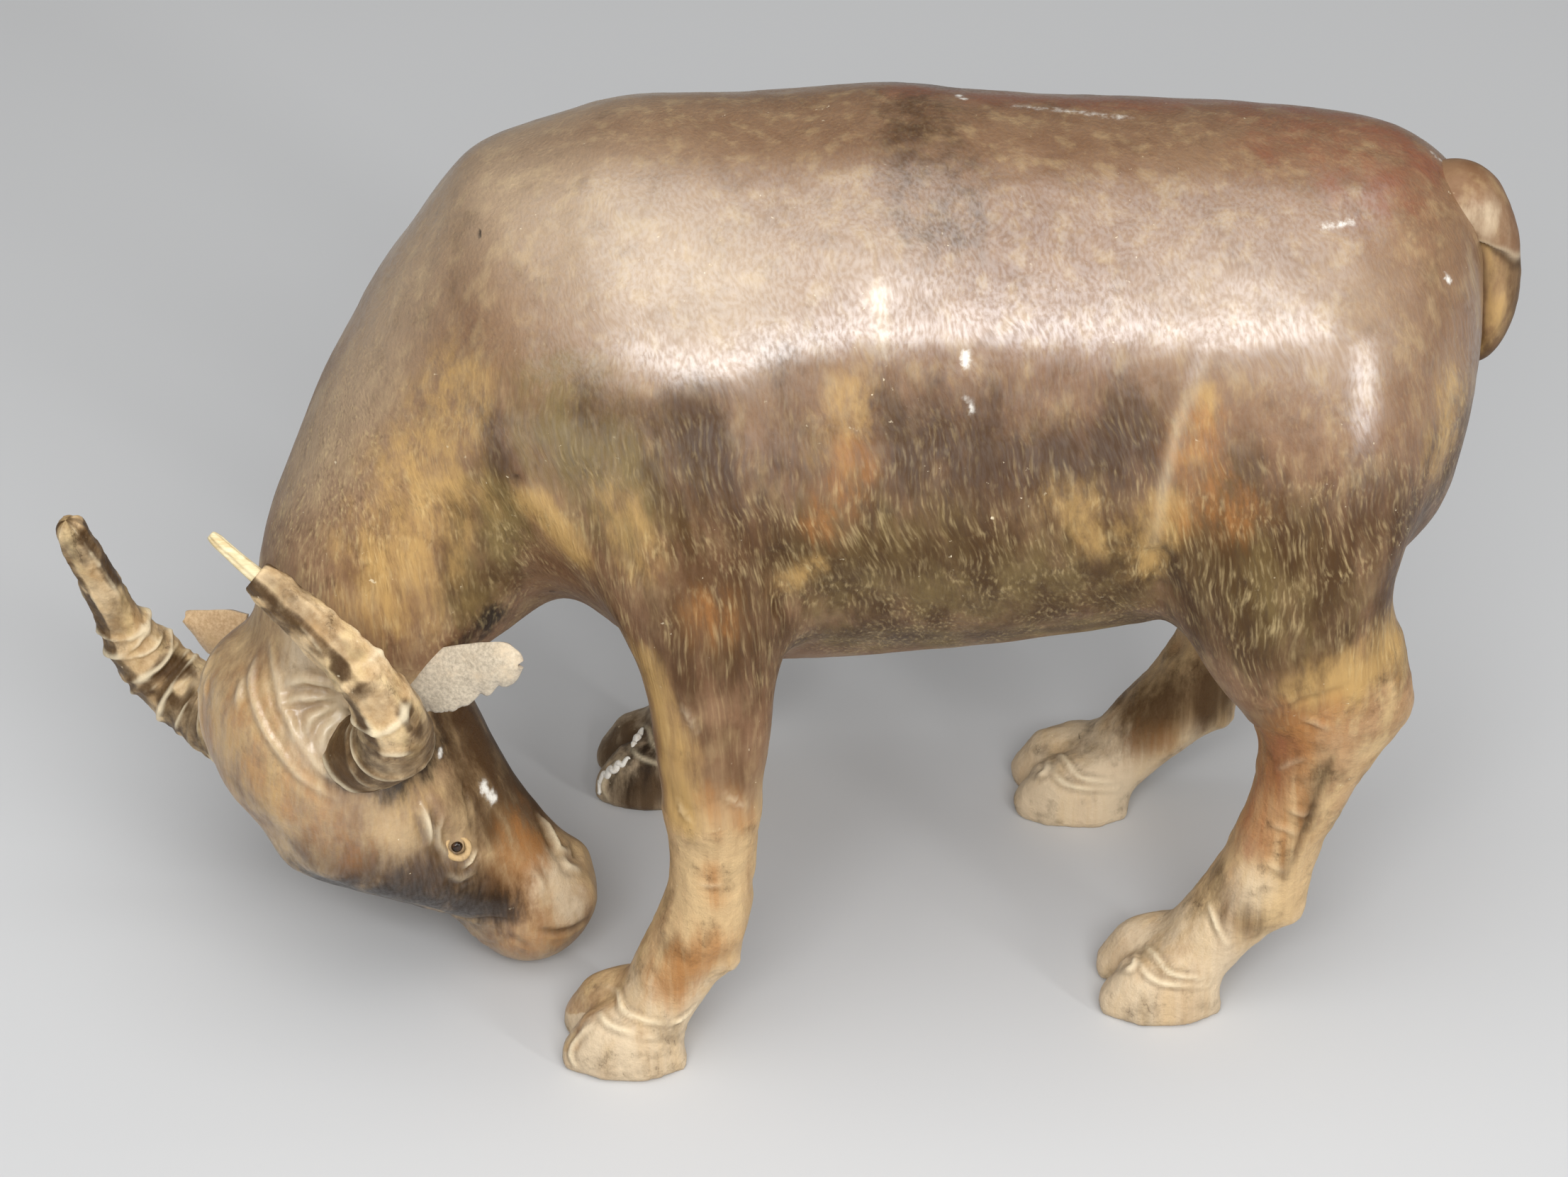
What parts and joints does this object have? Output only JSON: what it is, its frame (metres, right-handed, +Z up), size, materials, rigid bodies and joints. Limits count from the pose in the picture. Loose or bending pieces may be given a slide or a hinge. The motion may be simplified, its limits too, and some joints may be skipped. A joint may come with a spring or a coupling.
{
  "type": "water buffalo figurine",
  "caption": "Standing water buffalo ornament with lowered, turned head and swept horns, leather panels glued over a dowelled wooden core.",
  "frame": {"origin": "on the standing surface, under the middle of the figure's overall box", "axes": "+X from the head towards the tail, along the length; +Y towards the animal's right side; +Z up"},
  "size_m": [0.2998, 0.1252, 0.1971],
  "materials": {
    "body_leather": "dyed and rubbed satin leather, dark red-brown with ochre and olive patches",
    "limb_leather": "pale worn satin leather with pressed creases",
    "horn_leather": "wound and glued leather, pale with dark creases",
    "ear_suede": "raw suede, pale grey, ragged edge",
    "core_wood": "bare carved softwood",
    "cane": "bare pale cane",
    "bead": "glossy dark bead"
  },
  "bodies": {
    "root": {"barrel_hide_left": "body_leather", "barrel_hide_right": "body_leather", "ear_left": "ear_suede", "ear_right": "ear_suede", "eye_left": "bead", "eye_right": "bead", "eyelid_left": "limb_leather", "eyelid_right": "limb_leather", "face_hide": "body_leather", "head_core": "core_wood", "hip_hide_left": "body_leather", "hip_hide_right": "body_leather", "hoof_front_left": "limb_leather", "hoof_front_right": "limb_leather", "hoof_hind_left": "limb_leather", "hoof_hind_right": "limb_leather", "horn_core_left": "cane", "horn_core_right": "cane", "horn_wrap_left": "horn_leather", "horn_wrap_right": "horn_leather", "leg_core_front_left": "core_wood", "leg_core_front_right": "core_wood", "leg_core_hind_left": "core_wood", "leg_core_hind_right": "core_wood", "leg_dowel_front_left": "core_wood", "leg_dowel_front_right": "core_wood", "leg_dowel_hind_left": "core_wood", "leg_dowel_hind_right": "core_wood", "leg_sleeve_front_left": "limb_leather", "leg_sleeve_front_right": "limb_leather", "leg_sleeve_hind_left": "limb_leather", "leg_sleeve_hind_right": "limb_leather", "muzzle_hide": "body_leather", "neck_core": "core_wood", "neck_dowel_front": "core_wood", "neck_dowel_rear": "core_wood", "neck_hide": "body_leather", "shoulder_hide_left": "body_leather", "shoulder_hide_right": "body_leather", "sole_front_left": "limb_leather", "sole_front_right": "limb_leather", "sole_hind_left": "limb_leather", "sole_hind_right": "limb_leather", "tail_core": "cane", "tail_wrap": "body_leather", "trunk_core_left": "core_wood", "trunk_core_right": "core_wood", "trunk_dowel_front": "core_wood", "trunk_dowel_rear": "core_wood"}
  },
  "joints": []
}
